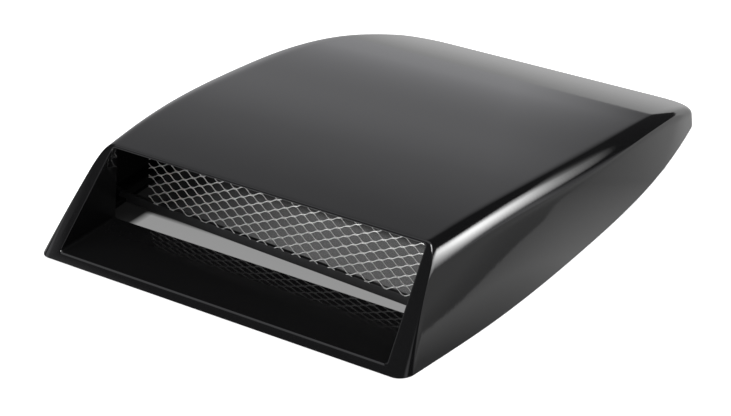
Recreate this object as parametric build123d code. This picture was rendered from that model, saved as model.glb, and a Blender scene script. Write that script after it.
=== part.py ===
from build123d import *
import math
import os

# Bonnet air scoop that is stuck to a car bonnet: a hollow moulded hump with a raked mouth
# at the front, a short duct behind the mouth, an expanded metal grille and foam tape.
# Millimetres. X is across the car, Y runs from the mouth to the tail, Z is up.
# The pieces are drawn with Y = 0 at the front lip and Z = 0 at the moulding's underside,
# and are moved at the end so that the origin is the middle of the footprint on the bonnet.

# Roof line, from the mouth to the tail
length = 386.0
mouth_setback = 50.5
roof_at_mouth = 54.2
peak_y = 78.0
roof_at_peak = 54.9
middle_y = 195.0
roof_at_middle = 46.5
rear_to_tail = 72.0
rear_y = length - rear_to_tail
roof_at_rear = 27.6
roof_at_tail = 3.4

# Side walls: half width at the base and inward lean in degrees, at five stations along Y
mouth_base_half_width = 124.0
tail_half_width = 110.0
tail_flare = 7.2
haunch_to_tail = 118.0
turn_to_tail = 34.0
station_y = (0.0, 65.0, 170.0, length - haunch_to_tail, length - turn_to_tail)
base_half_width = (mouth_base_half_width, 131.4, 134.7, 130.5, tail_half_width + tail_flare)
wall_lean = (20.0, 17.6, 9.2, 7.0, 7.0)
tail_corner_radius = 27.0
shoulder_radius = 9.0
wall = 2.2
inner_corner_cut = 4.5

# Mouth frame and the duct behind it
frame_thickness = 3.0
frame_edge_cut = 1.2
frame_side_low = 13.2
mouth_taper = 5.0
mouth_corner_radius = 2.0
lip_height = 3.8
duct_depth = 53.5
duct_wall = 2.0

# Rim and the tape under it
rim_width = 9.0
rim_thickness = 2.2
tape_thickness = 0.8
tape_width = 7.0
tape_margin = 1.0
tape_start = 11.0
tape_end_to_tail = 36.0
tape_end = length - tape_end_to_tail
tape_front_half_length = 100.0
tape_tail_half_length = 82.0

# Grille and the rail that carries its lower edge
grille_skew = -3.4
grille_lean = 14.4
grille_half_width = 101.0
pattern_roll = -1.1
diamond_long = 12.5
diamond_short = 5.9
strand_width = 0.9
strand_thickness = 0.9
rail_y = 71.0
rail_height = 5.6
rail_thickness = 3.0
rail_edge_radius = 0.8
grille_overlap = 1.6
seat_clearance = 0.3

# Bulk that is drawn past the finished surfaces and then cut away
spare = 30.0

rake = math.degrees(math.atan2(roof_at_mouth, mouth_setback))
top_level = roof_at_peak + spare


def slab(low, high):
    """A block wider and longer than the scoop, between two heights."""
    centre = Pos(0, length / 2, (low + high) / 2)
    return centre * Box(4 * tail_half_width, 2 * length, high - low)


def plan_outline(height, inset=0.0):
    """The scoop's outline at a height, as the leaning side walls give it."""
    half_widths = []
    for half, lean in zip(base_half_width, wall_lean):
        half_widths.append(half - height * math.tan(math.radians(lean)) - inset)
    tail_lean = height * math.tan(math.radians(wall_lean[-1]))
    tail_half = tail_half_width - tail_lean - inset
    tail_y = length - inset
    right = [Vector(x, y, height) for x, y in zip(half_widths, station_y)]
    corner = Vector(tail_half, tail_y, height)
    left_corner = Vector(-tail_half, tail_y, height)
    left = [Vector(-point.X, point.Y, height) for point in reversed(right)]
    front_run = right[1] - right[0]
    tail_run = corner - right[-1]
    left_front_run = Vector(front_run.X, -front_run.Y, 0)
    left_tail_run = Vector(tail_run.X, -tail_run.Y, 0)
    edges = [
        Line(left[-1], right[0]),
        Spline(right, tangents=[front_run, tail_run]),
        Line(right[-1], corner),
        Line(corner, left_corner),
        Line(left_corner, left[0]),
        Spline(left, tangents=[left_tail_run, left_front_run]),
    ]
    face = make_face(edges)
    corners = face.vertices().filter_by(lambda v: v.Y > tail_y - wall / 2)
    return fillet(corners, tail_corner_radius - inset)


def side_profile(roof_inset=0.0, front_inset=0.0):
    """The scoop seen from the side: raked mouth, roof line, and open below the base."""
    front_shift = front_inset / math.sin(math.radians(rake))
    below = -spare
    run = mouth_setback / roof_at_mouth
    roof = [
        (mouth_setback, roof_at_mouth),
        (peak_y, roof_at_peak),
        (middle_y, roof_at_middle),
        (rear_y, roof_at_rear),
        (length, roof_at_tail),
    ]
    roof = [Vector(0, y, z - roof_inset) for y, z in roof]
    start = Vector(0, roof[0].Y + front_shift - roof_inset * run, roof[0].Z)
    roof[0] = start
    low_front = Vector(0, front_shift + below * run, below)
    low_tail = Vector(0, length, below)
    edges = [
        Line(low_front, roof[0]),
        Spline(roof),
        Line(roof[-1], low_tail),
        Line(low_tail, low_front),
    ]
    return make_face(edges)


def rough_hump(inset, front_inset):
    """The form of the scoop with sharp shoulders, drawn past the bonnet, and those edges."""
    sides = loft([plan_outline(-spare, inset), plan_outline(top_level, inset)], ruled=True)
    profile = Pos(-2 * tail_half_width, 0, 0) * side_profile(inset, front_inset)
    body = sides & extrude(profile, amount=4 * tail_half_width, dir=(1, 0, 0))
    roof = body.faces().sort_by(Axis.Z)[-1]
    return body, roof.edges().sort_by(Axis.Y)[1:]


def hump():
    """The solid form of the scoop, with its shoulders rounded, standing on Z = 0."""
    body, shoulder = rough_hump(0, 0)
    return fillet(shoulder, shoulder_radius) & slab(0, top_level)


def hollow(inset, front_inset):
    """The room inside the walls; its shoulders are cut flat, which keeps the wall even."""
    body, shoulder = rough_hump(inset, front_inset)
    return chamfer(shoulder, inner_corner_cut) & slab(0, top_level)


def mouth_outline(grow=0.0):
    """The mouth seen from the front: a trapezoid, wider at its foot."""
    low = mouth_base_half_width - frame_side_low + grow
    high = low - mouth_taper
    foot = lip_height - grow
    head = roof_at_mouth - wall + grow
    corners = [(-low, foot), (low, foot), (high, head), (-high, head)]
    return Plane.XZ * make_face(Polyline(corners, close=True))


def footprint(inset):
    """The outline on the bonnet, set in all round."""
    behind_lip = Pos(0, inset + length, 0) * Rectangle(4 * tail_half_width, 2 * length)
    return plan_outline(0, inset) & behind_lip


def make_shell():
    """The moulding in one piece: hump, mouth frame, duct floor and sides, and rim."""
    outer = hump()
    raked_face = outer.faces().sort_by(Axis.Y)[0]
    upper_edges = raked_face.edges().sort_by(Axis.Z)[1:]
    outer = chamfer(upper_edges, frame_edge_cut)
    cavity = hollow(wall, frame_thickness)
    duct = extrude(mouth_outline(duct_wall), amount=-duct_depth)
    opening = fillet(mouth_outline().vertices(), mouth_corner_radius)
    passage = extrude(opening, amount=-duct_depth)
    shell = (outer - cavity) + (outer & duct) - passage
    return shell + make_rim(outer)


def make_rim(outer):
    """The flat ring inside the foot of the walls, which the tape is stuck to."""
    ring = footprint(0) - footprint(rim_width)
    return outer & extrude(ring, amount=rim_thickness)


def free_space():
    """The room inside the moulding, less a seat clearance, down to its underside."""
    inset = wall + seat_clearance
    above_rim = hollow(inset, frame_thickness + seat_clearance) & slab(rim_thickness, top_level)
    inside_rim = extrude(footprint(rim_width + seat_clearance), amount=rim_thickness)
    return above_rim + inside_rim


def stand_at_grille(piece):
    """Puts a piece drawn upright on the XZ plane where the grille stands."""
    return Pos(0, rail_y, 0) * Rot(0, 0, grille_skew) * Rot(-grille_lean, 0, 0) * piece


def make_grille(room):
    """Expanded metal: a thin sheet with staggered diamonds, cut off along its edges."""
    height = roof_at_peak
    foot = (rail_height - grille_overlap) / math.cos(math.radians(grille_lean))
    diagonal = math.hypot(diamond_long, diamond_short)
    strand_share = strand_width * diagonal / (diamond_long * diamond_short)
    half_long = diamond_long / 2 * (1 - strand_share)
    half_short = diamond_short / 2 * (1 - strand_share)
    points = [(-half_long, 0), (0, -half_short), (half_long, 0), (0, half_short)]
    diamond = make_face(Polyline(points, close=True))
    columns = math.ceil(grille_half_width / diamond_long)
    rows = math.ceil(2 * height / diamond_short)
    gaps = []
    for row in range(rows):
        stagger = diamond_long / 2 * (row % 2)
        level = foot + strand_width + row * diamond_short / 2
        for column in range(-columns, columns + 1):
            gap = Pos(column * diamond_long + stagger, level) * diamond
            gaps.append(Rot(0, 0, pattern_roll) * gap)
    sheet = Pos(0, foot + height / 2) * Rectangle(2 * grille_half_width, height)
    sheet = Plane.XZ * (sheet - gaps)
    grille = stand_at_grille(extrude(sheet, amount=strand_thickness)) & room
    # Strand ends that the cut leaves loose fall away
    return grille.solids().sort_by(SortBy.VOLUME)[-1]


def make_rail(room):
    """A plain strip across the scoop, lapped over the rim at both ends."""
    upright = rail_height / math.cos(math.radians(grille_lean))
    bar = Box(4 * tail_half_width, rail_thickness, upright)
    bar = Pos(0, rail_thickness / 2, upright / 2) * bar
    front_edges = bar.faces().sort_by(Axis.Y)[0].edges().filter_by(Axis.X)
    bar = stand_at_grille(fillet(front_edges, rail_edge_radius))
    low_room = room & slab(0, rail_height)
    return bar & low_room


def make_tapes():
    """Foam tape under the rim: one strip each at the lip, the two sides and the tail."""
    ring = footprint(tape_margin) - footprint(tape_margin + tape_width)
    band = extrude(ring, amount=-tape_thickness)
    side_length = tape_end - tape_start
    side = Pos(2 * tail_half_width, (tape_start + tape_end) / 2, 0)
    side_zone = side * Box(4 * tail_half_width, side_length, spare)
    front_zone = Box(2 * tape_front_half_length, 2 * spare, spare)
    tail_zone = Pos(0, length, 0) * Box(2 * tape_tail_half_length, 2 * spare, spare)
    tape_right = band & side_zone
    return {
        "tape_front": band & front_zone,
        "tape_right": tape_right,
        "tape_left": mirror(tape_right, Plane.YZ),
        "tape_tail": band & tail_zone,
    }


room_inside = free_space()
pieces = {
    "scoop_shell": make_shell(),
    "grille_mesh": make_grille(room_inside),
    "grille_rail": make_rail(room_inside),
}
pieces.update(make_tapes())

outside = pieces["scoop_shell"].bounding_box()
on_bonnet = Pos(0, -outside.center().Y, tape_thickness)
os.makedirs("parts", exist_ok=True)
for name, piece in pieces.items():
    export_step(on_bonnet * piece, "parts/" + name + ".step")
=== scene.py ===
import math

import bmesh
import bpy
import numpy as np
from mathutils import Matrix, Vector


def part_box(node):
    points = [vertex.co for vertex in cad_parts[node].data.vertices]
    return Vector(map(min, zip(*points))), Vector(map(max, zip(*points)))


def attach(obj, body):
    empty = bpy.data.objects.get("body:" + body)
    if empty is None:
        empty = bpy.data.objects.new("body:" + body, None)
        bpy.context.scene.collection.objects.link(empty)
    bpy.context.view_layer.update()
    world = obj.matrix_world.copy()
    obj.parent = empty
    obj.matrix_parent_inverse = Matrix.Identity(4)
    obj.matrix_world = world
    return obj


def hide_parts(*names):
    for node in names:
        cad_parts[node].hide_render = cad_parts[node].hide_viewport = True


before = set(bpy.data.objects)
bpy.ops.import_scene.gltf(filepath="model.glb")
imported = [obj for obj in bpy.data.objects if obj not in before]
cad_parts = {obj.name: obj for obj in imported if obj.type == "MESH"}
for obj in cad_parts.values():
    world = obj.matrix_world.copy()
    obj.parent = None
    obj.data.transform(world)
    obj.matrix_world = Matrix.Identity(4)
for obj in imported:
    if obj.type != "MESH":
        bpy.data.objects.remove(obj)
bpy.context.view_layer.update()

# The moulding
# One thin-walled moulding of black gloss plastic: hump, mouth frame, duct floor and sides, and
# the rim that the tape is stuck to. Lengths are metres from the middle of the front lip.
lip = Vector((0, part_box("scoop_shell")[0].y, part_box("scoop_shell")[0].z))
length = 0.386
roof_y = (0.0505, 0.078, 0.195, 0.314, length)
roof_z = (0.0542, 0.0549, 0.0465, 0.0276, 0.0034)
station_y = (0.0, 0.065, 0.170, 0.268, 0.352)
base_half_width = (0.1240, 0.1314, 0.1347, 0.1305, 0.1172)
lean_degrees = (20.0, 17.6, 9.2, 7.0, 7.0)
tail_half_width = 0.110
tail_corner_radius = 0.027

# How far the rounded shoulder runs onto the roof and down the side, from mouth to tail
reach_y = (0.050, 0.120, 0.195, 0.260, 0.310, 0.360, length)
roof_reach = (0.0055, 0.0100, 0.0148, 0.0126, 0.0098, 0.0074, 0.0050)
side_reach = (0.0140, 0.0128, 0.0090, 0.0058, 0.0056, 0.0046, 0.0034)
shoulder_power = 2.5
hollow_shoulder = 0.014

# Walls, mouth, duct and rim
wall = 0.0022
frame_thickness = 0.003
mouth_half_low = 0.1108
mouth_half_high = 0.1058
mouth_foot = 0.0038
mouth_head = roof_z[0] - 0.0016
mouth_corner = 0.002
mouth_edge_radius = 0.0008
duct_depth = 0.0535
duct_wall = 0.002
rim_width = 0.009
rim_thickness = 0.0022
rim_end_gap = 0.0001

# The rounding from the mouth frame onto the skin: fine at the brow and full at the foot
brow_radius = 0.0005
cheek_face_radius = 0.0070
cheek_side_radius = 0.0062
cheek_height = 0.041
cheek_fade = 2.0
nose_fade = 0.06

# The skin stays this far inside the CAD solid, and the cutting forms run past it
skin_trim = 0.00006
tail_trim = 0.0004
passage_start = -0.004
duct_start = -0.010
duct_overcut = 0.0003
below = 0.006
slab_width = 0.4

# How finely the meshes are divided, and how long each point is sought
wall_points, corner_points, roof_points = 15, 11, 19
skin_rows, skin_tail_rows, front_rows = 96, 26, 10
hollow_rows, hollow_tail_rows = 50, 16
mouth_edge_rows = 5
shoulder_zone = 0.016
zone_share = 0.85
last_row_share = 0.997
beyond_skin = 1.1
settling_rounds = 6
halvings = 44
tail_halvings = 40
rake = math.atan2(roof_z[0], roof_y[0])
shear = 1 / math.tan(rake)


class Line:
    """A smooth line through a few points, as a bent spline would lie."""

    def __init__(self, at, value, start=None, end=None):
        self.at = np.array(at)
        self.value = np.array(value)
        step = np.diff(self.at)
        rise = np.diff(self.value) / step
        count = len(at)
        system = np.zeros((count, count))
        known = np.zeros(count)
        for i in range(1, count - 1):
            system[i, i - 1 : i + 2] = (step[i], 2 * (step[i - 1] + step[i]), step[i - 1])
            known[i] = 3 * (step[i] * rise[i - 1] + step[i - 1] * rise[i])
        system[0, :2] = (2, 1) if start is None else (1, 0)
        known[0] = 3 * rise[0] if start is None else start
        system[-1, -2:] = (1, 2) if end is None else (0, 1)
        known[-1] = 3 * rise[-1] if end is None else end
        self.slope = np.linalg.solve(system, known)

    def level(self, where):
        """The value at each place, held at the end values past the ends."""
        return self.read(np.clip(where, self.at[0], self.at[-1]))[0]

    def read(self, where):
        """The value and the slope at each place; past the ends the line runs straight on."""
        inside = np.clip(where, self.at[0], self.at[-1])
        i = np.clip(np.searchsorted(self.at, inside) - 1, 0, len(self.at) - 2)
        step = self.at[i + 1] - self.at[i]
        t = (inside - self.at[i]) / step
        rise = self.value[i + 1] - self.value[i]
        first = self.slope[i] * step
        last = self.slope[i + 1] * step
        bend = first + last - 2 * rise
        sag = 3 * rise - 2 * first - last
        value = self.value[i] + t * (first + t * (sag + t * bend))
        slope = (first + t * (2 * sag + 3 * t * bend)) / step
        return value + slope * (where - inside), slope


side_tangent = np.tan(np.radians(lean_degrees))
nose_run = station_y[1] - station_y[0]
tail_slope = (tail_half_width - base_half_width[-1]) / (length - station_y[-1])
roof_line = Line(roof_y, roof_z)
base_line = Line(
    station_y,
    base_half_width,
    (base_half_width[1] - base_half_width[0]) / nose_run,
    tail_slope,
)
lean_line = Line(station_y, side_tangent, (side_tangent[1] - side_tangent[0]) / nose_run, 0.0)
roof_reach_line = Line(reach_y, roof_reach)
side_reach_line = Line(reach_y, side_reach)


def rounded(first, second, first_reach, second_reach, power=2.0):
    """Depth below two surfaces whose edge is rounded; past a power of 2 the ends are softer."""
    first_left = np.clip(1 - first / first_reach, 0, None) ** power
    second_left = np.clip(1 - second / second_reach, 0, None) ** power
    share = 1 - (first_left + second_left) ** (1 / power)
    in_corner = (first < first_reach) & (second < second_reach)
    corner_depth = share * np.minimum(first_reach, second_reach)
    return np.where(in_corner, corner_depth, np.minimum(first, second))


def skin_depth(x, y, z, in_hollow=False):
    """How deep a point lies below the moulding's outer skin, roof, sides and tail."""
    half, half_slope = base_line.read(y)
    lean, lean_slope = lean_line.read(y)
    roof, roof_slope = roof_line.read(y)
    side = half - z * lean - np.abs(x)
    side = side / np.sqrt(1 + lean**2 + (half_slope - z * lean_slope) ** 2)
    top = (roof - z) / np.sqrt(1 + roof_slope**2)
    tail = length - tail_trim - y
    plan = rounded(side, tail, tail_corner_radius, tail_corner_radius)
    if in_hollow:
        return rounded(plan, top, hollow_shoulder, hollow_shoulder)
    return rounded(plan, top, roof_reach_line.level(y), side_reach_line.level(y), shoulder_power)


def across(floor, foot_half, corner_x, corner_z):
    """Points of a sharp-cornered half section, foot to roof middle, closer at the corner."""
    height = corner_z - floor
    low_zone = np.minimum(shoulder_zone, zone_share * height)
    high_zone = np.minimum(shoulder_zone, zone_share * corner_x)
    on_wall = np.linspace(0, 1, wall_points)[:, None]
    on_corner = np.linspace(0, 1, corner_points)[1:, None]
    on_roof = np.linspace(0, 1, roof_points)[1:, None]
    up = np.concatenate([on_wall * (height - low_zone), height - low_zone * (1 - on_corner)])
    over = np.concatenate([on_corner * high_zone, high_zone + on_roof * (corner_x - high_zone)])
    wall_x = foot_half + (corner_x - foot_half) * up / height
    roof_x = corner_x - over
    x = np.concatenate([wall_x, roof_x]).T
    z = np.concatenate([floor + up, corner_z + 0 * over]).T
    return x, z


def hump_points(floor, inset, start, stations):
    """Points at a depth below the skin, row by row from the mouth to the tail.

    The rows lean with the mouth's rake at the front and stand upright at the tail. Each point
    is found along a line from the middle of the row's foot, where the depth is right.
    """
    first, tail = stations[0], stations[-1]
    slant = shear * (1 - (stations - first) / (tail - first)) ** 2
    corner_y = stations + slant * roof_z[0]
    corner_z = roof_line.read(corner_y)[0]
    for _ in range(settling_rounds):
        corner_y = stations + slant * corner_z
        corner_z = roof_line.read(corner_y)[0]
    corner_x = base_line.read(corner_y)[0] - corner_z * lean_line.read(corner_y)[0]
    foot_y = stations + slant * floor
    foot_half = base_line.read(foot_y)[0] - floor * lean_line.read(foot_y)[0]
    aim_x, aim_z = across(floor, foot_half, corner_x, corner_z)
    near = np.zeros_like(aim_x)
    far = np.full_like(aim_x, beyond_skin)
    fade = np.clip(1 - (stations - first) / nose_fade, 0, 1)[:, None]
    ahead, depth = start(aim_z)
    ahead = ahead * fade
    for _ in range(halvings):
        reach = (near + far) / 2
        x = aim_x * reach
        z = floor + (aim_z - floor) * reach
        y = stations[:, None] + slant[:, None] * z + ahead
        inside = skin_depth(x, y, z, in_hollow=inset >= wall) > inset + depth
        near = np.where(inside, reach, near)
        far = np.where(inside, far, reach)
    right = np.stack([x, y, z], axis=-1)
    left = right[:, ::-1][:, 1:] * (-1, 1, 1)
    return np.concatenate([right, left], axis=1)


def cheek(height, foot_radius):
    """Rounding between mouth frame and skin: fine at the brow and full at the foot."""
    share = np.clip(1 - height / cheek_height, 0, 1)
    return brow_radius + (foot_radius - brow_radius) * share**cheek_fade


def tail_reach(floor, inset):
    """How far back the skin reaches on the centre line at a height."""
    near, far = length / 2, length + wall
    for _ in range(tail_halvings):
        middle = (near + far) / 2
        if skin_depth(0.0, middle, floor, in_hollow=inset >= wall) > inset:
            near = middle
        else:
            far = middle
    return near


def row_places(first, last, plain_rows, tail_rows):
    """Where the rows stand along Y: even along the hump and closing up round the tail."""
    turn = last - tail_corner_radius
    plain = np.linspace(first, turn, plain_rows)
    angles = np.linspace(0, last_row_share, tail_rows) * math.pi / 2
    round_tail = turn + tail_corner_radius * np.sin(angles)
    return np.concatenate([plain, round_tail[1:]])


def closed_hump(name, points):
    """A solid from rows of skin points, closed at the mouth and underneath."""
    rows, columns = points.shape[:2]
    made = bmesh.new()
    bmesh.ops.create_grid(made, x_segments=rows - 1, y_segments=columns - 1, size=1)
    mouth_row = {}
    for vert in made.verts:
        row = round((vert.co.x + 1) / 2 * (rows - 1))
        column = round((vert.co.y + 1) / 2 * (columns - 1))
        vert.co = points[row, column]
        if row == 0:
            mouth_row[column] = vert
    front, bottom = [], []
    for edge in made.edges:
        if edge.is_boundary:
            at_mouth = all(vert in mouth_row.values() for vert in edge.verts)
            (front if at_mouth else bottom).append(edge)
    lip_line = made.edges.new((mouth_row[0], mouth_row[columns - 1]))
    bmesh.ops.contextual_create(made, geom=front + [lip_line])
    bmesh.ops.contextual_create(made, geom=bottom + [lip_line])
    bmesh.ops.recalc_face_normals(made, faces=made.faces)
    return finished(name, made)


def finished(name, made):
    """Turns an edited mesh into an object of the scene."""
    made.transform(Matrix.Translation(lip))
    mesh = bpy.data.meshes.new(name)
    made.to_mesh(mesh)
    made.free()
    thing = bpy.data.objects.new(name, mesh)
    bpy.context.scene.collection.objects.link(thing)
    return thing


def combined(body, tool, operation):
    """Joins a closed form to a body or cuts it away, and throws the form away."""
    change = body.modifiers.new(operation, "BOOLEAN")
    change.operation = operation
    change.solver = "EXACT"
    change.object = tool
    graph = bpy.context.evaluated_depsgraph_get()
    mesh = bpy.data.meshes.new_from_object(body.evaluated_get(graph))
    body.modifiers.clear()
    body.data = mesh
    bpy.data.objects.remove(tool)
    return body


def mouth_prism(name, grow, corner, places):
    """A bar with the mouth's outline, front to back.

    Each of the places gives a Y, 1 or 0 for a section that leans with the mouth frame or stands
    upright, and how much larger than the mouth the section is.
    """
    low, high = mouth_half_low + grow, mouth_half_high + grow
    foot, head = mouth_foot - grow, mouth_head + grow
    middle = (foot + head) / 2
    made = bmesh.new()
    bmesh.ops.create_grid(made, x_segments=1, y_segments=1, size=1)
    for vert in made.verts:
        half = low if vert.co.y < 0 else high
        vert.co = (half * vert.co.x, 0, foot if vert.co.y < 0 else head)
    bmesh.ops.bevel(
        made,
        geom=made.verts[:],
        offset=corner,
        affect="VERTICES",
        segments=8,
        profile=0.5,
        material=-1,
    )
    cap, verts = made.faces[:], made.verts[:]
    last = 0.0
    for step, (y, slanted, extra) in enumerate(places):
        if step:
            grown = bmesh.ops.extrude_face_region(made, geom=cap)["geom"]
            if step > 1:
                bmesh.ops.delete(made, geom=cap, context="FACES_ONLY")
            cap = [item for item in grown if isinstance(item, bmesh.types.BMFace)]
            verts = [item for item in grown if isinstance(item, bmesh.types.BMVert)]
        for vert in verts:
            x = vert.co.x + (extra - last) * math.copysign(1, vert.co.x)
            z = vert.co.z + (extra - last) * math.copysign(1, vert.co.z - middle)
            vert.co = (x, y + slanted * shear * z, z)
        last = extra
    bmesh.ops.recalc_face_normals(made, faces=made.faces)
    return finished(name, made)


def front_round(steps):
    """Rows that turn from the mouth frame's flat face onto the skin."""
    rows = []
    for turn in np.linspace(0, math.pi / 2, steps):

        def start(height, turn=turn):
            ahead = cheek(height, cheek_side_radius) * (1 - math.cos(turn)) / math.sin(rake)
            return ahead, cheek(height, cheek_face_radius) * (1 - math.sin(turn))

        places = np.array([0.0, tail_reach(0, skin_trim)])
        rows.append(hump_points(0.0, skin_trim, start, places)[:1])
    return np.concatenate(rows)


def on_skin(height):
    """Rows past the rounding start where it ends and lie on the skin itself."""
    return cheek(height, cheek_side_radius) / math.sin(rake), 0 * height


places = row_places(0.0, tail_reach(0, skin_trim), skin_rows, skin_tail_rows)
skin = hump_points(0.0, skin_trim, on_skin, places)
outer = closed_hump("scoop", np.concatenate([front_round(front_rows)[:-1], skin]))


def square_start(height):
    """The hollow starts flat behind the mouth frame."""
    return 0 * height, 0 * height


frame_back = frame_thickness / math.sin(rake)
places = row_places(frame_back, tail_reach(-below, wall), hollow_rows, hollow_tail_rows)
hollow = closed_hump("hollow", hump_points(-below, wall, square_start, places))


def rim_block():
    """A flat slab with the rim's opening cut out of it, to be left standing in the hollow."""
    made = bmesh.new()
    bmesh.ops.create_cube(made, size=1)
    wide = Matrix.Diagonal((slab_width, 2 * length, below + rim_thickness, 1))
    place = Matrix.Translation((0, length / 2, (rim_thickness - below) / 2))
    bmesh.ops.transform(made, matrix=place @ wide, verts=made.verts)
    slab = finished("slab", made)
    rim_end = length - rim_width - rim_end_gap
    along = row_places(rim_width, rim_end, hollow_rows, hollow_tail_rows)
    inner = hump_points(0.0, 0.0, square_start, along)
    half = np.abs(inner[:, 0, 0]) - rim_width
    tail_gap = np.clip(length - rim_width - along, 0, None)
    radius = tail_corner_radius - rim_width
    bite = np.clip(radius - tail_gap, 0, radius)
    bend = radius - np.sqrt(radius**2 - bite**2)
    half = np.where(tail_gap < radius, base_line.read(along)[0] - rim_width - bend, half)
    made = bmesh.new()
    bmesh.ops.create_grid(made, x_segments=len(along) - 1, y_segments=1, size=1)
    for vert in made.verts:
        row = round((vert.co.x + 1) / 2 * (len(along) - 1))
        vert.co = (half[row] * vert.co.y, along[row], -2 * below)
    grown = bmesh.ops.extrude_face_region(made, geom=made.faces[:])
    risen = [item for item in grown["geom"] if isinstance(item, bmesh.types.BMVert)]
    bmesh.ops.translate(made, vec=(0, 0, 4 * below), verts=risen)
    bmesh.ops.recalc_face_normals(made, faces=made.faces)
    return combined(slab, finished("opening", made), "DIFFERENCE")


duct_places = [(duct_start, 0, 0.0), (duct_depth, 0, 0.0)]
duct_block = mouth_prism("duct", duct_wall, mouth_corner + duct_wall, duct_places)
hollow = combined(hollow, duct_block, "DIFFERENCE")
hollow = combined(hollow, rim_block(), "DIFFERENCE")
scoop = combined(outer, hollow, "DIFFERENCE")
edge = mouth_edge_radius
passage_places = [(passage_start, 1, edge)]
for turn in np.linspace(0, math.pi / 2, mouth_edge_rows):
    depth = edge * (1 - math.cos(turn)) / math.sin(rake)
    passage_places.append((depth, 1, edge * (1 - math.sin(turn))))
passage_places.append((duct_depth + duct_overcut, 0, 0.0))
passage = mouth_prism("passage", 0.0, mouth_corner, passage_places)
scoop = combined(scoop, passage, "DIFFERENCE")


def smooth(thing, sharp_degrees):
    """Shades a thing smoothly, with its edges above an angle left crisp."""
    thing.data.polygons.foreach_set("use_smooth", [True] * len(thing.data.polygons))
    thing.data.set_sharp_from_angle(angle=math.radians(sharp_degrees))


smooth(scoop, sharp_degrees=32)


class Wire:
    """One link of a finish; sums and products of wires add the nodes that they need."""

    def __init__(self, finish, socket):
        self.finish = finish
        self.socket = socket

    def math(self, operation, first, second):
        return self.finish.node("ShaderNodeMath", {"operation": operation}, {0: first, 1: second})

    def __add__(self, other):
        return self.math("ADD", self, other)

    def __radd__(self, other):
        return self.math("ADD", other, self)

    def __sub__(self, other):
        return self.math("SUBTRACT", self, other)

    def __rsub__(self, other):
        return self.math("SUBTRACT", other, self)

    def __mul__(self, other):
        return self.math("MULTIPLY", self, other)

    def __rmul__(self, other):
        return self.math("MULTIPLY", other, self)

    def rise(self, low, high):
        """Climbs from 0 to 1 while the wire goes from low to high."""
        return self.finish.node("ShaderNodeMapRange", {}, {0: self, 1: low, 2: high})

    def fall(self, low, high):
        """Drops from 1 to 0 while the wire goes from low to high."""
        return self.finish.node("ShaderNodeMapRange", {}, {0: self, 1: low, 2: high, 3: 1, 4: 0})

    def outlet(self, name):
        """Another output of the node that this wire comes from."""
        return Wire(self.finish, self.socket.node.outputs[name])


class Finish:
    """A material, and the one way in which its nodes are added."""

    def __init__(self, name, **constants):
        self.material = bpy.data.materials.new(name)
        self.material.use_nodes = True
        self.tree = self.material.node_tree
        self.surface = self.tree.nodes["Principled BSDF"]
        for socket, value in constants.items():
            self.surface.inputs[socket.replace("_", " ")].default_value = value

    def node(self, kind, settings=None, inputs=None, output=0):
        made = self.tree.nodes.new(kind)
        for key, value in (settings or {}).items():
            if key == "stops":
                ramp = made.color_ramp.elements
                while len(ramp) < len(value):
                    ramp.new(1)
                for stop, (place, level) in zip(ramp, value):
                    stop.position = place
                    stop.color = (level, level, level, 1)
            else:
                setattr(made, key, value)
        for key, value in (inputs or {}).items():
            if isinstance(value, Wire):
                self.tree.links.new(value.socket, made.inputs[key])
            else:
                made.inputs[key].default_value = value
        return Wire(self, made.outputs[output])

    def feed(self, socket, wire):
        self.tree.links.new(wire.socket, self.surface.inputs[socket])

    def whole(self):
        """The finished surface, as a wire that can be mixed with another."""
        return Wire(self, self.surface.outputs[0])

    def place(self):
        return self.node("ShaderNodeTexCoord", output="Object")

    def noise(self, scale, detail):
        inputs = {"Vector": self.place(), "Scale": scale, "Detail": detail}
        return self.node("ShaderNodeTexNoise", inputs=inputs)

    def ramp(self, wire, *stops):
        return self.node("ShaderNodeValToRGB", {"stops": stops}, {"Fac": wire})

    def blend(self, share, first, second):
        mix = {"data_type": "RGBA"}
        first, second = (c if isinstance(c, Wire) else (*c, 1) for c in (first, second))
        return self.node("ShaderNodeMix", mix, {0: share, 6: first, 7: second}, output=2)

    def bump(self, height, distance, strength=1.0):
        inputs = {"Height": height, "Distance": distance, "Strength": strength}
        self.feed("Normal", self.node("ShaderNodeBump", inputs=inputs))

    def on(self, thing):
        thing.data.materials.clear()
        thing.data.materials.append(self.material)


gloss_black = Finish("gloss black plastic", IOR=1.48)
deep_black = (0.0032, 0.0032, 0.0034)
hazy_black = (0.0052, 0.0052, 0.0055)
haze = gloss_black.noise(38, 3)
grain = gloss_black.noise(900, 2)
gloss_black.feed("Base Color", gloss_black.blend(haze, deep_black, hazy_black))
gloss_black.feed("Roughness", 0.040 + 0.02 * haze + 0.01 * grain)
gloss_black.bump(gloss_black.noise(420, 2), 0.000006)

# The walls of the passage are left unpolished: a duller, darker black towards the mouth and on
# the left wall, partly painted shade that keeps the passage dark
passage_half = 0.1112
passage_head = 0.0522
passage_soft = 0.0004
front_matt_span = (0.030, 0.053)
left_wall_face = (-0.1075, -0.1065)
duct_end = (0.0535, 0.0540)
dull_black = (0.0022, 0.0022, 0.0023, 1)
skin_x = gloss_black.node("ShaderNodeSeparateXYZ", inputs={"Vector": gloss_black.place()})
skin_y = skin_x.outlet("Y") - lip.y
skin_z = skin_x.outlet("Z") - lip.z
behind_frame = skin_y - shear * skin_z
unpolished = behind_frame.rise(mouth_edge_radius, 2 * mouth_edge_radius)
unpolished = unpolished * skin_z.fall(passage_head, passage_head + passage_soft)
unpolished = unpolished * skin_x.rise(-passage_half - passage_soft, -passage_half)
unpolished = unpolished * skin_x.fall(passage_half, passage_half + passage_soft)
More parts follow.
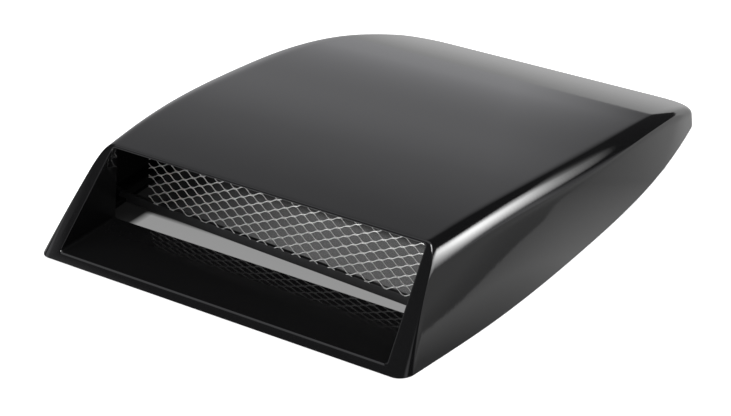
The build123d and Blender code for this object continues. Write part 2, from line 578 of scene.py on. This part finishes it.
# painted shade: the dull, darker black is strongest at the front of the passage and on its left
# wall
front_matt_shade = 0.9 * skin_y.fall(*front_matt_span)
left_wall_matt_shade = 0.85 * skin_x.fall(*left_wall_face) * skin_y.fall(*duct_end)
matt_and_shade = unpolished * (front_matt_shade * (1 - left_wall_matt_shade) + left_wall_matt_shade)
dull_values = {"Base Color": dull_black, "Roughness": 0.6, "Specular IOR Level": 0.06}
dull = gloss_black.node("ShaderNodeBsdfPrincipled", inputs=dull_values)
shares = {"Fac": matt_and_shade, 1: gloss_black.whole(), 2: dull}
mixed = gloss_black.node("ShaderNodeMixShader", inputs=shares)
surface_out = gloss_black.tree.nodes["Material Output"].inputs["Surface"]
gloss_black.tree.links.new(mixed.socket, surface_out)
gloss_black.on(scoop)

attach(scoop, "root")
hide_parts("scoop_shell")

# The grille
# Expanded aluminium sheet, slit and pulled open, so each row is a wavy twisted ribbon joined to
# its neighbours at the bonds. Its edges are cut with snips, and it is stuck to the rail.
rail_y = 0.071
rail_top = 0.0056
grille_skew = math.radians(-3.4)
grille_lean = math.radians(14.4)
grille_half_width = 0.101
pattern_roll = math.radians(-1.1)
diamond_long = 0.0125
diamond_short = 0.0059
ribbon_width = 0.00070
ribbon_thickness = 0.00050
ribbon_edge = 0.00014
ribbon_twist = math.radians(10)
ribbon_swing = math.radians(22)
bond_share = 0.55
bond_flatness = 1.12
sheet_share = 0.8
grille_overlap = 0.0004
grille_left_reach = 0.1055
grille_left_splay = math.radians(8.5)
grille_top_gap = 0.0009
steps_per_diamond = 16


def wave(u):
    """Height of a ribbon along its run, from -1 to 1: sloping strands and short flat bonds."""
    phase = (u / diamond_long) % 1.0
    slope = 1 - 4 * abs(phase - 0.5)
    return math.sin(math.pi / 2 * max(-1.0, min(1.0, bond_flatness * slope)))


def stands(at_front=0.0):
    """From the sheet's own flat to its place: leaned back, askew, ahead of the rail's face."""
    upright = Matrix.Rotation(-grille_lean, 4, "X") @ Matrix.Translation((0, -at_front, 0))
    return Matrix.Translation((0, rail_y, 0)) @ Matrix.Rotation(grille_skew, 4, "Z") @ upright


foot = (rail_top - grille_overlap) / math.cos(grille_lean)
rise = (diamond_short / 2 - ribbon_width * bond_share) / 2
sheet = bmesh.new()
run = 2 * grille_half_width + 4 * diamond_long
cuts = int(run / diamond_long * steps_per_diamond)
rows = math.ceil(roof_z[1] / (diamond_short / 2)) + 3
ribbon = bmesh.new()
bmesh.ops.create_cube(ribbon, size=1)
size = Matrix.Diagonal((run, ribbon_thickness, ribbon_width, 1))
bmesh.ops.transform(ribbon, matrix=size, verts=ribbon.verts)
bmesh.ops.bevel(
    ribbon,
    geom=[edge for edge in ribbon.edges if edge.calc_length() > run / 2],
    offset=ribbon_edge,
    affect="EDGES",
    segments=1,
    profile=0.5,
    material=-1,
)
lengthwise = [edge for edge in ribbon.edges if edge.calc_length() > run / 2]
bmesh.ops.subdivide_edges(ribbon, edges=lengthwise, cuts=cuts, use_grid_fill=True)
straight = bpy.data.meshes.new("ribbon")
ribbon.to_mesh(straight)
ribbon.free()
for row in range(-1, rows):
    shift = diamond_long / 2 * (row % 2)
    level = foot + row * diamond_short / 2
    first = len(sheet.verts)
    sheet.from_mesh(straight)
    sheet.verts.ensure_lookup_table()
    for vert in sheet.verts[first:]:
        along = vert.co.x + shift
        climb = math.sin(2 * math.pi * along / diamond_long)
        twist = Matrix.Rotation(ribbon_twist - ribbon_swing * climb, 3, "X")
        vert.co = twist @ vert.co + Vector((0, 0, level + rise * wave(along)))
bpy.data.meshes.remove(straight)
bmesh.ops.rotate(sheet, matrix=Matrix.Rotation(-pattern_roll, 3, "Y"), verts=sheet.verts)
half_sheet = ribbon_thickness * sheet_share
bmesh.ops.transform(sheet, matrix=stands(half_sheet), verts=sheet.verts)


def trimmed(made, point, outward):
    """Cuts off what lies past a plane and closes the cut ends."""
    geometry = made.verts[:] + made.edges[:] + made.faces[:]
    bmesh.ops.bisect_plane(
        made, geom=geometry, plane_co=point, plane_no=outward, clear_outer=True
    )
    bmesh.ops.holes_fill(made, edges=[e for e in made.edges if e.is_boundary], sides=0)


turned = stands()
trimmed(sheet, turned @ Vector((0, 0, foot)), turned.to_3x3() @ Vector((0, 0, -1)))
left_out = Vector((-math.cos(grille_left_splay), 0, -math.sin(grille_left_splay)))
trimmed(sheet, turned @ Vector((-grille_left_reach, 0, foot)), turned.to_3x3() @ left_out)
trimmed(sheet, turned @ Vector((grille_half_width, 0, 0)), turned.to_3x3() @ Vector((1, 0, 0)))
under_roof = roof_z[1] - wall - grille_top_gap
trimmed(sheet, Vector((0, 0, under_roof)), Vector((0, 0, 1)))
bmesh.ops.recalc_face_normals(sheet, faces=sheet.faces)
mesh_panel = finished("grille", sheet)
smooth(mesh_panel, sharp_degrees=40)

bright_metal = Finish("bright sheet metal", Metallic=0.7)
dull_silver = (0.78, 0.78, 0.76)
clean_silver = (0.95, 0.95, 0.93)
tarnish = bright_metal.noise(160, 3)
bright_metal.feed("Base Color", bright_metal.blend(tarnish, dull_silver, clean_silver))
bright_metal.feed("Roughness", 0.30 + 0.16 * tarnish)
bright_metal.bump(bright_metal.noise(2600, 2), 0.00002, 0.5)
bright_metal.on(mesh_panel)
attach(mesh_panel, "root")
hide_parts("grille_mesh")

# The rail
# A plain black moulded strip across the foot of the grille, lapped over the rim at both ends
# and stuck there. It is less polished than the scoop, so it looks dark grey.
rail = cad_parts["grille_rail"]
satin_black = Finish("satin black plastic", IOR=1.48)
rail_black = (0.016, 0.016, 0.0165)
scuffed_black = (0.026, 0.026, 0.0265)
scuff = satin_black.noise(90, 4)
satin_black.feed("Base Color", satin_black.blend(scuff, rail_black, scuffed_black))
satin_black.feed("Roughness", 0.34 + 0.12 * scuff)
satin_black.bump(satin_black.noise(1400, 2), 0.00001)
satin_black.on(rail)

# The tape
# Four strips of closed-cell foam tape under the rim, cut square, which hold the scoop down.
foam = Finish("closed-cell foam", IOR=1.35)
cell_black = (0.022, 0.022, 0.023)
cell_grey = (0.050, 0.050, 0.050)
cells = foam.noise(2200, 3)
foam.feed("Base Color", foam.blend(cells, cell_black, cell_grey))
foam.feed("Roughness", 0.82 + 0.12 * cells)
foam.bump(cells, 0.00008, 0.6)
for strip in ("tape_front", "tape_left", "tape_right", "tape_tail"):
    foam.on(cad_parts[strip])

# The table and the light
# A pale sheet that runs on out of view, under one soft lamp, with painted shade and painted light
# inside the scoop's foot and painted bands of light that show only in reflections. The gloss
# shows the room round it: a bright strip at the rear right, a pale wall at the left, and darker
# walls and a skylight.
table_half = 6.0
made = bmesh.new()
bmesh.ops.create_grid(made, x_segments=8, y_segments=8, size=table_half)
mesh = bpy.data.meshes.new("table")
made.to_mesh(mesh)
made.free()
table = bpy.data.objects.new("table", mesh)
bpy.context.scene.collection.objects.link(table)

paper = Finish("pale table", Roughness=0.9, Specular_IOR_Level=0.0, Emission_Strength=1.0)
across_x = paper.node("ShaderNodeSeparateXYZ", inputs={"Vector": paper.place()})
along_y = across_x.outlet("Y") - lip.y
camera_ray = paper.node("ShaderNodeLightPath", output="Is Camera Ray")
mirror_ray = camera_ray.outlet("Is Glossy Ray")

# What the camera sees: a white sheet, with painted shade on the patch of it inside the scoop's
# foot and painted light where light would come in through the mouth
open_glow = 0.80
under_start = 0.032
under_end = 0.300
under_soft = 0.002
foot_widens = (0.045, 0.090)
foot_narrows = (0.235, 0.275)
foot_bulge = 0.0025 * along_y.rise(*foot_widens) * along_y.fall(*foot_narrows)
under_half_width = 0.1260 + foot_bulge
under = (across_x + under_half_width).rise(-under_soft, under_soft)
under = under * (across_x - under_half_width).fall(-under_soft, under_soft)
under = under * along_y.rise(under_start - under_soft, under_start + under_soft)
under = under * along_y.fall(under_end - under_soft, under_end + under_soft)
slot_end = (0.074, 0.078)
slot_left = (-0.1065, -0.1005)
# painted light: a pool of light on the sheet in the slot behind the duct floor, fading at its
# left end
slot_glow = 0.29 * along_y.fall(*slot_end) * across_x.rise(*slot_left)
depth_left = (-0.100, -0.010)
depth_end = (0.126, 0.136)
# painted light: dimmer, mottled light on the sheet behind the grille, fading to the left
mottle = 0.55 + 0.9 * paper.noise(1300, 1).rise(0.3, 0.7)
depth_glow = 0.096 * along_y.rise(*slot_end) * across_x.rise(*depth_left)
depth_glow = depth_glow * along_y.fall(*depth_end) * mottle
shade_glow = 0.004 + slot_glow + depth_glow
clear_view = open_glow * (1 - under) + shade_glow * under

# What the gloss shows of the sheet, painted reflections: bands of painted light at the scoop's
# right, brightest in front, and painted shade under the scoop
rear_glow = 0.66
front_glow = 4.5
side_grows = (0.05, 0.16)
side_fades = (0.17, 0.28)
side_glow = 0.42 + 0.72 * along_y.rise(*side_grows) - 0.66 * along_y.rise(*side_fades)
far_side = 0.586 * across_x + 0.81 * along_y
far_grows = (0.33, 0.50)
far_edge = (0.317, 0.320)
far_left = (0.215, 0.221)
far_glow = 0.36 + 0.28 * far_side.rise(*far_grows)
beyond = far_side.rise(*far_edge) * across_x.rise(*far_left)
right_view = side_glow * (1 - beyond) + far_glow * beyond
right_edge = (0.120, 0.130)
front_edge = (-0.06, 0.0)
front_left = (-0.16, -0.10)
at_right = across_x.rise(*right_edge)
at_front = along_y.fall(*front_edge) * across_x.rise(*front_left)
mirror_view = rear_glow * (1 - at_right) + right_view * at_right
mirror_view = mirror_view * (1 - at_front) + front_glow * at_front
under_mirror = 0.5 * shade_glow
mirror_view = mirror_view * (1 - under) + under_mirror * under
through_view = camera_ray + camera_ray.outlet("Is Transmission Ray")
glow = through_view * clear_view + mirror_ray * mirror_view
full_glow = 5.0
paper.feed("Emission Color", paper.blend(glow * (1 / full_glow), (0, 0, 0), (full_glow,) * 3))
# The sheet's own colour is made dark inside the scoop's foot, painted shade, and in reflections,
# where only the painted bands of light show
shown = (1 - under) * (1 - mirror_ray)
shaded_paper = (0.02, 0.02, 0.02)
pale_paper = (0.80, 0.80, 0.80)
paper.feed("Base Color", paper.blend(shown, shaded_paper, pale_paper))
paper.on(table)


class Studio(Finish):
    """The room round the object, as the light that comes from each direction."""

    def __init__(self):
        world = bpy.data.worlds.new("studio")
        world.use_nodes = True
        bpy.context.scene.world = world
        self.tree = world.node_tree
        self.surface = self.tree.nodes["Background"]


studio = Studio()
toward = studio.node("ShaderNodeTexCoord", output="Generated")
toward_x = studio.node("ShaderNodeSeparateXYZ", inputs={"Vector": toward})
toward_y = toward_x.outlet("Y")
toward_z = toward_x.outlet("Z")

# The walls and the skylight: how bright each is, and the directions between which it shows
wall_steps = ((0.0, 0.68), (0.10, 0.79), (0.32, 0.49), (0.46, 0.45), (0.56, 0.38), (0.66, 0.05))
wall_glow = studio.ramp(toward_z, *wall_steps)
wall_end = -0.20 - 0.8 * (toward_y - 0.72)
left_wall = wall_glow * toward_x.fall(-0.44, wall_end) * toward_y.rise(-0.05, 0.20)
skylight = 0.97 * toward_z.rise(0.74, 0.78)
skylight = skylight * toward_y.rise(-0.30, -0.20) * toward_y.fall(0.45, 0.55)
front_wall = (0.10 + 1.50 * toward_z.fall(0.46, 0.62)) * toward_y.fall(-0.30, -0.10)
right_wall = (0.6 + 0.6 * toward_y.fall(0.66, 0.78)) * toward_z.fall(0.10, 0.40)
right_wall = right_wall * toward_x.rise(0.40, 0.55) * toward_y.rise(0.3, 0.6)
dark_glow = 0.03
room = dark_glow + left_wall + right_wall + skylight + front_wall

# The strip: a slanting band with a soft front edge and foot
strip_front = toward_x + 2.9 * toward_y - 1.1 * toward_z
strip_foot = toward_z - 1.2 * toward_y
strip = strip_front.rise(1.82, 2.05) * strip_foot.rise(-0.68, -0.42) * toward_x.rise(-0.30, -0.10)
strip = strip * toward_y.rise(0.48, 0.59) * toward_y.fall(0.62, 0.93)
strip_light = (21.0, 21.0, 21.0)
wall_white = (0.97, 0.97, 1.0)
room_light = studio.blend(room, (0, 0, 0), wall_white)
studio.feed("Color", studio.blend(strip, room_light, strip_light))


def set_up(name, data, place, facing):
    """Puts a lamp or a camera at a place, facing along a direction."""
    thing = bpy.data.objects.new(name, data)
    thing.location = place
    thing.rotation_mode = "QUATERNION"
    thing.rotation_quaternion = facing.to_track_quat("-Z", "Y")
    bpy.context.scene.collection.objects.link(thing)
    return thing


lamp_place = Vector((0.15, -0.45, 1.3))
lamp_target = Vector((0, -0.1, 0))
lamp = bpy.data.lights.new("overhead", "AREA")
lamp.shape = "RECTANGLE"
lamp.size = 0.5
lamp.size_y = 0.4
lamp.energy = 10
set_up("overhead", lamp, lamp_place, lamp_target - lamp_place)

# The camera, where the photograph's perspective puts it
camera_azimuth = math.radians(33.28202)
camera_elevation = math.radians(27.59501)
camera_place = Vector((0.6111198, -0.7781550, 0.5807819)) + lip
focal_pixels = 2100
photo_width = 731
back = Vector(
    (
        math.sin(camera_azimuth) * math.cos(camera_elevation),
        -math.cos(camera_azimuth) * math.cos(camera_elevation),
        math.sin(camera_elevation),
    )
)
camera_data = bpy.data.cameras.new("camera")
camera_data.sensor_width = 36
camera_data.lens = focal_pixels / photo_width * camera_data.sensor_width
bpy.context.scene.camera = set_up("camera", camera_data, camera_place, -back)
bpy.context.scene.view_settings.view_transform = "Standard"
